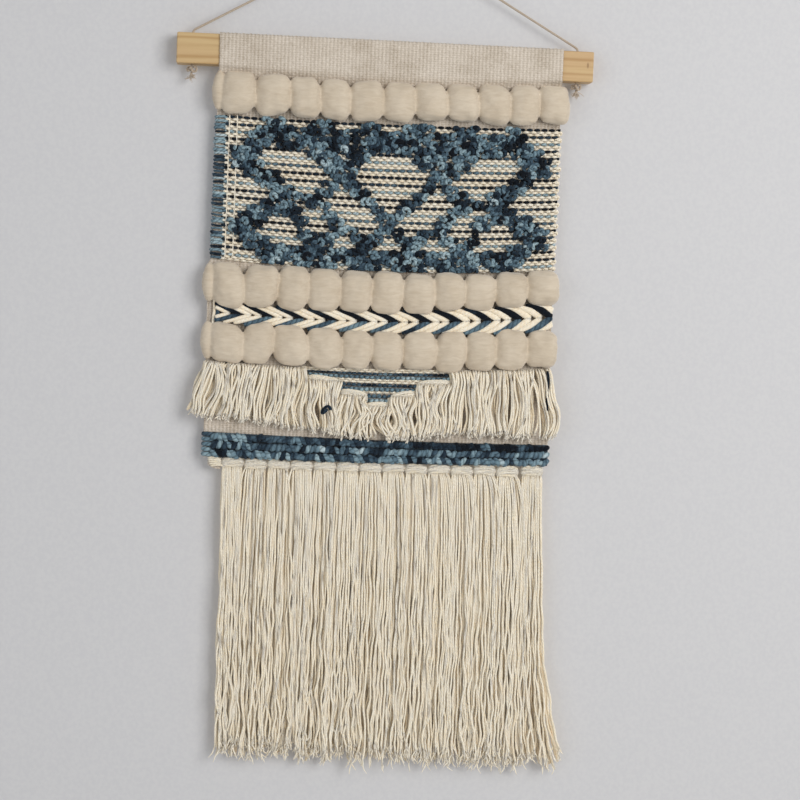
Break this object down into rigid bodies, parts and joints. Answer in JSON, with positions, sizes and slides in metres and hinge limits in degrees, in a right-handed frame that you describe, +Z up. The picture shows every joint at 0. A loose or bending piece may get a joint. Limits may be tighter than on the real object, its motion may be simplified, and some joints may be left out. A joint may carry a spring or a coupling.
{
  "type": "tapestry wall hanging",
  "caption": "Woven wall hanging on a wooden batten: felted roving rows, a looped blue trellis, a short fringe over a blue band, long tassels, and a hanging cord.",
  "frame": {"origin": "top of the hook, under the middle of the hanging cord, midway across the batten", "axes": "+Z up, +X to the right seen from the front, the front faces -Y and the wall is on +Y"},
  "size_m": [0.425, 0.0289, 0.8415],
  "materials": {
    "pine": "sanded, unvarnished pine",
    "cord": "twisted cotton cord",
    "plain_weave": "ribbed cotton weave",
    "cotton_yarn": "soft unbleached cotton",
    "wool_roving": "unspun felted wool",
    "blue_yarn": "variegated blue wool yarn"
  },
  "bodies": {
    "cord": {"hanging_cord": "cord"},
    "batten": {"batten": "pine", "cord_in_hole_left": "cord", "cord_in_hole_right": "cord", "cord_knot_left": "cord", "cord_knot_right": "cord"},
    "sleeve": {"rod_sleeve": "plain_weave", "sleeve_seam": "cotton_yarn"},
    "panel": {"woven_panel": "plain_weave", "roving_row_top": "wool_roving", "loop_pile": "blue_yarn", "roving_row_middle": "wool_roving", "soumak_braid_upper": "cotton_yarn", "soumak_braid_lower": "cotton_yarn", "roving_row_lower": "wool_roving", "accent_row_1": "blue_yarn", "accent_row_2": "blue_yarn", "accent_row_3": "blue_yarn", "blue_band_upper": "blue_yarn", "blue_band_lower": "blue_yarn", "tassel_knot_01": "cotton_yarn", "tassel_knot_02": "cotton_yarn", "tassel_knot_03": "cotton_yarn", "tassel_knot_04": "cotton_yarn", "tassel_knot_05": "cotton_yarn", "tassel_knot_06": "cotton_yarn", "tassel_knot_07": "cotton_yarn", "tassel_knot_08": "cotton_yarn", "tassel_knot_09": "cotton_yarn", "tassel_knot_10": "cotton_yarn", "tassel_knot_11": "cotton_yarn", "tassel_knot_12": "cotton_yarn", "tassel_knot_13": "cotton_yarn", "tassel_knot_14": "cotton_yarn"},
    "short_fringe_01": {"short_fringe_01": "cotton_yarn"},
    "short_fringe_02": {"short_fringe_02": "cotton_yarn"},
    "short_fringe_03": {"short_fringe_03": "cotton_yarn"},
    "short_fringe_04": {"short_fringe_04": "cotton_yarn"},
    "short_fringe_05": {"short_fringe_05": "cotton_yarn"},
    "short_fringe_06": {"short_fringe_06": "cotton_yarn"},
    "short_fringe_07": {"short_fringe_07": "cotton_yarn"},
    "short_fringe_08": {"short_fringe_08": "cotton_yarn"},
    "short_fringe_09": {"short_fringe_09": "cotton_yarn"},
    "short_fringe_10": {"short_fringe_10": "cotton_yarn"},
    "short_fringe_11": {"short_fringe_11": "cotton_yarn"},
    "tassel_01": {"tassel_01": "cotton_yarn"},
    "tassel_02": {"tassel_02": "cotton_yarn"},
    "tassel_03": {"tassel_03": "cotton_yarn"},
    "tassel_04": {"tassel_04": "cotton_yarn"},
    "tassel_05": {"tassel_05": "cotton_yarn"},
    "tassel_06": {"tassel_06": "cotton_yarn"},
    "tassel_07": {"tassel_07": "cotton_yarn"},
    "tassel_08": {"tassel_08": "cotton_yarn"},
    "tassel_09": {"tassel_09": "cotton_yarn"},
    "tassel_10": {"tassel_10": "cotton_yarn"},
    "tassel_11": {"tassel_11": "cotton_yarn"},
    "tassel_12": {"tassel_12": "cotton_yarn"},
    "tassel_13": {"tassel_13": "cotton_yarn"},
    "tassel_14": {"tassel_14": "cotton_yarn"}
  },
  "joints": [
    {"name": "batten_rock", "type": "hinge", "parent": "cord", "child": "batten", "pos_m": [0, 0, -0.1117], "axis": [-1, 0, 0], "range_deg": [0, 15]},
    {"name": "sleeve_slide", "type": "slide", "parent": "batten", "child": "sleeve", "axis": [1, 0, 0], "range_m": [-0.018, 0.0025]},
    {"name": "panel_lift", "type": "hinge", "parent": "sleeve", "child": "panel", "pos_m": [0.0058, 0, -0.1473], "axis": [-1, 0, 0], "range_deg": [0, 35]},
    {"name": "short_fringe_01_lift", "type": "hinge", "parent": "panel", "child": "short_fringe_01", "pos_m": [-0.15628, -0.0058, -0.4524], "axis": [-1, 0, 0], "range_deg": [0, 60]},
    {"name": "short_fringe_02_lift", "type": "hinge", "parent": "panel", "child": "short_fringe_02", "pos_m": [-0.12045, -0.0058, -0.4524], "axis": [-1, 0, 0], "range_deg": [0, 60]},
    {"name": "short_fringe_03_lift", "type": "hinge", "parent": "panel", "child": "short_fringe_03", "pos_m": [-0.08462, -0.0058, -0.4524], "axis": [-1, 0, 0], "range_deg": [0, 60]},
    {"name": "short_fringe_04_lift", "type": "hinge", "parent": "panel", "child": "short_fringe_04", "pos_m": [-0.04995, -0.0058, -0.4607], "axis": [-1, 0, 0], "range_deg": [0, 60]},
    {"name": "short_fringe_05_lift", "type": "hinge", "parent": "panel", "child": "short_fringe_05", "pos_m": [-0.0197, -0.0058, -0.473], "axis": [-1, 0, 0], "range_deg": [0, 60]},
    {"name": "short_fringe_06_lift", "type": "hinge", "parent": "panel", "child": "short_fringe_06", "pos_m": [0.0058, -0.0058, -0.4831], "axis": [-1, 0, 0], "range_deg": [0, 60]},
    {"name": "short_fringe_07_lift", "type": "hinge", "parent": "panel", "child": "short_fringe_07", "pos_m": [0.0313, -0.0058, -0.473], "axis": [-1, 0, 0], "range_deg": [0, 60]},
    {"name": "short_fringe_08_lift", "type": "hinge", "parent": "panel", "child": "short_fringe_08", "pos_m": [0.06155, -0.0058, -0.4607], "axis": [-1, 0, 0], "range_deg": [0, 60]},
    {"name": "short_fringe_09_lift", "type": "hinge", "parent": "panel", "child": "short_fringe_09", "pos_m": [0.09622, -0.0058, -0.4524], "axis": [-1, 0, 0], "range_deg": [0, 60]},
    {"name": "short_fringe_10_lift", "type": "hinge", "parent": "panel", "child": "short_fringe_10", "pos_m": [0.13205, -0.0058, -0.4524], "axis": [-1, 0, 0], "range_deg": [0, 60]},
    {"name": "short_fringe_11_lift", "type": "hinge", "parent": "panel", "child": "short_fringe_11", "pos_m": [0.16788, -0.0058, -0.4524], "axis": [-1, 0, 0], "range_deg": [0, 60]},
    {"name": "tassel_01_swing", "type": "hinge", "parent": "panel", "child": "tassel_01", "pos_m": [-0.13927, 0, -0.5611], "axis": [-1, 0, 0], "range_deg": [0, 60]},
    {"name": "tassel_02_swing", "type": "hinge", "parent": "panel", "child": "tassel_02", "pos_m": [-0.11601, 0, -0.5611], "axis": [-1, 0, 0], "range_deg": [0, 60]},
    {"name": "tassel_03_swing", "type": "hinge", "parent": "panel", "child": "tassel_03", "pos_m": [-0.09276, 0, -0.5611], "axis": [-1, 0, 0], "range_deg": [0, 60]},
    {"name": "tassel_04_swing", "type": "hinge", "parent": "panel", "child": "tassel_04", "pos_m": [-0.0695, 0, -0.5611], "axis": [-1, 0, 0], "range_deg": [0, 60]},
    {"name": "tassel_05_swing", "type": "hinge", "parent": "panel", "child": "tassel_05", "pos_m": [-0.04624, 0, -0.5611], "axis": [-1, 0, 0], "range_deg": [0, 60]},
    {"name": "tassel_06_swing", "type": "hinge", "parent": "panel", "child": "tassel_06", "pos_m": [-0.02299, 0, -0.5611], "axis": [-1, 0, 0], "range_deg": [0, 60]},
    {"name": "tassel_07_swing", "type": "hinge", "parent": "panel", "child": "tassel_07", "pos_m": [0.00027, 0, -0.5611], "axis": [-1, 0, 0], "range_deg": [0, 60]},
    {"name": "tassel_08_swing", "type": "hinge", "parent": "panel", "child": "tassel_08", "pos_m": [0.02353, 0, -0.5611], "axis": [-1, 0, 0], "range_deg": [0, 60]},
    {"name": "tassel_09_swing", "type": "hinge", "parent": "panel", "child": "tassel_09", "pos_m": [0.04679, 0, -0.5611], "axis": [-1, 0, 0], "range_deg": [0, 60]},
    {"name": "tassel_10_swing", "type": "hinge", "parent": "panel", "child": "tassel_10", "pos_m": [0.07004, 0, -0.5611], "axis": [-1, 0, 0], "range_deg": [0, 60]},
    {"name": "tassel_11_swing", "type": "hinge", "parent": "panel", "child": "tassel_11", "pos_m": [0.0933, 0, -0.5611], "axis": [-1, 0, 0], "range_deg": [0, 60]},
    {"name": "tassel_12_swing", "type": "hinge", "parent": "panel", "child": "tassel_12", "pos_m": [0.11656, 0, -0.5611], "axis": [-1, 0, 0], "range_deg": [0, 60]},
    {"name": "tassel_13_swing", "type": "hinge", "parent": "panel", "child": "tassel_13", "pos_m": [0.13981, 0, -0.5611], "axis": [-1, 0, 0], "range_deg": [0, 60]},
    {"name": "tassel_14_swing", "type": "hinge", "parent": "panel", "child": "tassel_14", "pos_m": [0.16307, 0, -0.5611], "axis": [-1, 0, 0], "range_deg": [0, 60]}
  ]
}
